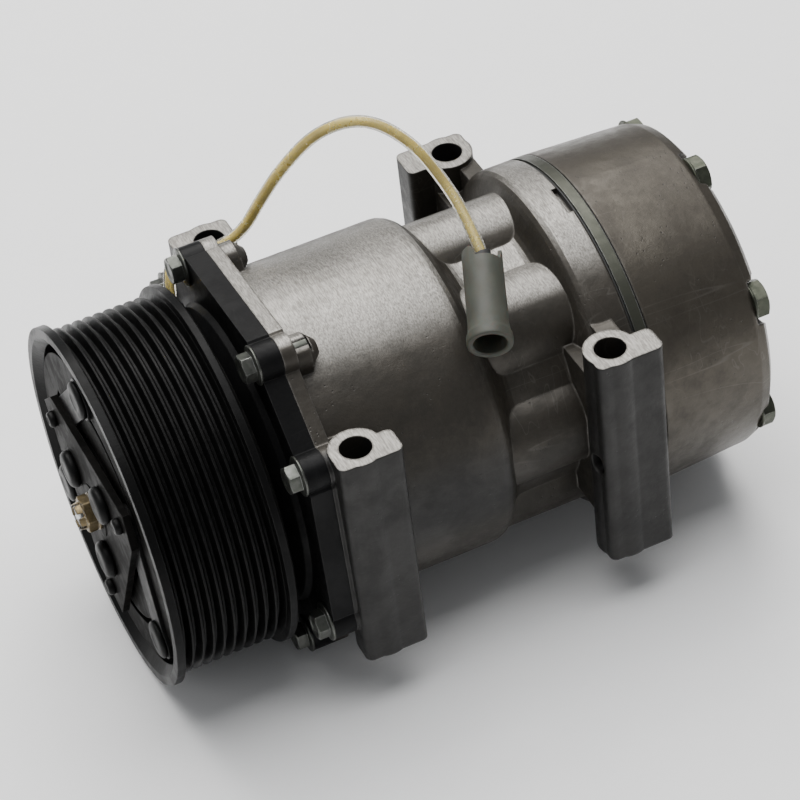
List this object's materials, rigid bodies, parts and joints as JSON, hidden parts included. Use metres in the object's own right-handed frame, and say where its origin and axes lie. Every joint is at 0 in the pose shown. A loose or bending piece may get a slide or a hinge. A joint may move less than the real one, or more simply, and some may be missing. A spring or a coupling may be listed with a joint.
{
  "type": "automotive ac compressor",
  "caption": "Wobble-plate refrigerant compressor with an electromagnetic clutch, a multi-rib belt pulley, cast mounting ears and a clutch lead with a connector.",
  "frame": {"origin": "on the shaft axis, at the centre of the four mounting holes", "axes": "+X along the shaft from the pulley to the rear head, +Z along the mounting bolts"},
  "size_m": [0.226, 0.1344, 0.162],
  "materials": {
    "black_paint": "satin black enamel with worn edges",
    "cast_aluminium": "as-cast, warm grey, mottled",
    "zinc_plated_steel": "bright zinc plate",
    "passivated_steel": "yellow passivated",
    "steel": "ground",
    "forged_steel": "forged and machined",
    "machined_aluminium": "machined",
    "coil_resin": "cast resin",
    "black_rubber": "matt",
    "gasket": "coated fibre",
    "yellow_lead": "yellow lead in a clear sleeve",
    "natural_nylon": "milky, translucent",
    "terminal": "tinned"
  },
  "bodies": {
    "housing": {"bearing_inner_race": "steel", "nose_circlip": "steel", "coil_housing": "steel", "coil_winding": "coil_resin", "coil_circlip": "steel", "lead_wire": "yellow_lead", "lead_grommet": "black_rubber", "wire_seal": "black_rubber", "connector_housing": "natural_nylon", "connector_terminal": "terminal", "front_housing": "black_paint", "front_bolts": "zinc_plated_steel", "front_o_ring": "black_rubber", "shaft_seal": "black_rubber", "front_needle_bearing": "steel", "rotor_thrust_bearing": "steel", "pivot_ball": "steel", "anchor_gear": "forged_steel", "anchor_spring": "steel", "cylinder_block": "cast_aluminium", "block_gasket": "gasket", "valve_plate": "zinc_plated_steel", "suction_reeds": "steel", "discharge_reeds": "steel", "head_gasket": "gasket", "rear_head": "cast_aluminium", "head_bolts": "zinc_plated_steel"},
    "pulley": {"pulley_rotor": "black_paint", "bearing_outer_race": "steel", "bearing_circlip": "steel"},
    "bearing_balls": {"bearing_balls": "steel"},
    "shaft": {"drive_shaft": "steel", "cam_rotor": "forged_steel", "plate_thrust_bearing": "steel", "clutch_hub": "steel", "hub_plate": "black_paint", "hub_rivets": "black_paint", "spring_rivets": "black_paint", "shaft_nut": "passivated_steel", "gap_shims": "steel", "shaft_key": "steel"},
    "armature": {"armature_plate": "black_paint", "leaf_springs": "black_paint", "armature_rivets": "black_paint"},
    "wobble_plate": {"wobble_plate": "machined_aluminium", "plate_gear": "forged_steel"},
    "piston_1": {"piston_rod_1": "forged_steel", "piston_1": "machined_aluminium"},
    "piston_2": {"piston_rod_2": "forged_steel", "piston_2": "machined_aluminium"},
    "piston_3": {"piston_rod_3": "forged_steel", "piston_3": "machined_aluminium"},
    "piston_4": {"piston_rod_4": "forged_steel", "piston_4": "machined_aluminium"},
    "piston_5": {"piston_rod_5": "forged_steel", "piston_5": "machined_aluminium"},
    "piston_6": {"piston_rod_6": "forged_steel", "piston_6": "machined_aluminium"},
    "piston_7": {"piston_rod_7": "forged_steel", "piston_7": "machined_aluminium"}
  },
  "joints": [
    {"name": "pulley_spin", "type": "hinge", "parent": "housing", "child": "pulley", "pos_m": [-0.0885, 0, 0], "axis": [1, 0, 0], "continuous": true},
    {"name": "bearing_balls_orbit", "type": "hinge", "parent": "housing", "child": "bearing_balls", "pos_m": [-0.0885, 0, 0], "axis": [1, 0, 0], "continuous": true},
    {"name": "shaft_spin", "type": "hinge", "parent": "housing", "child": "shaft", "pos_m": [-0.075, 0, 0], "axis": [1, 0, 0], "continuous": true},
    {"name": "armature_engage", "type": "slide", "parent": "shaft", "child": "armature", "axis": [1, 0, 0], "range_m": [0, 0.00045], "stiffness_N_per_m": 20000},
    {"name": "wobble_nutation", "type": "hinge", "parent": "shaft", "child": "wobble_plate", "pos_m": [-0.029, 0, 0], "axis": [0.9511, 0, 0.309], "continuous": true},
    {"name": "piston_1_stroke", "type": "hinge", "parent": "wobble_plate", "child": "piston_1", "pos_m": [-0.03857, -0.02226, 0.02944], "axis": [0.9511, 0, 0.309], "continuous": true},
    {"name": "piston_2_stroke", "type": "hinge", "parent": "wobble_plate", "child": "piston_2", "pos_m": [-0.02959, -0.03808, 0.00181], "axis": [0.9511, 0, 0.309], "continuous": true},
    {"name": "piston_3_stroke", "type": "hinge", "parent": "wobble_plate", "child": "piston_3", "pos_m": [-0.02016, -0.02523, -0.02719], "axis": [0.9511, 0, 0.309], "continuous": true},
    {"name": "piston_4_stroke", "type": "hinge", "parent": "wobble_plate", "child": "piston_4", "pos_m": [-0.0174, 0.00662, -0.03571], "axis": [0.9511, 0, 0.309], "continuous": true},
    {"name": "piston_5_stroke", "type": "hinge", "parent": "wobble_plate", "child": "piston_5", "pos_m": [-0.02337, 0.03349, -0.01734], "axis": [0.9511, 0, 0.309], "continuous": true},
    {"name": "piston_6_stroke", "type": "hinge", "parent": "wobble_plate", "child": "piston_6", "pos_m": [-0.03358, 0.03514, 0.01409], "axis": [0.9511, 0, 0.309], "continuous": true},
    {"name": "piston_7_stroke", "type": "hinge", "parent": "wobble_plate", "child": "piston_7", "pos_m": [-0.04034, 0.01033, 0.03491], "axis": [0.9511, 0, 0.309], "continuous": true}
  ],
  "couplings": [
    {"joint": "bearing_balls_orbit", "follows": "pulley_spin", "ratio": 0.559},
    {"joint": "wobble_nutation", "follows": "shaft_spin", "ratio": -1},
    {"joint": "piston_1_stroke", "follows": "shaft_spin", "ratio": 1},
    {"joint": "piston_2_stroke", "follows": "shaft_spin", "ratio": 1},
    {"joint": "piston_3_stroke", "follows": "shaft_spin", "ratio": 1},
    {"joint": "piston_4_stroke", "follows": "shaft_spin", "ratio": 1},
    {"joint": "piston_5_stroke", "follows": "shaft_spin", "ratio": 1},
    {"joint": "piston_6_stroke", "follows": "shaft_spin", "ratio": 1},
    {"joint": "piston_7_stroke", "follows": "shaft_spin", "ratio": 1}
  ]
}
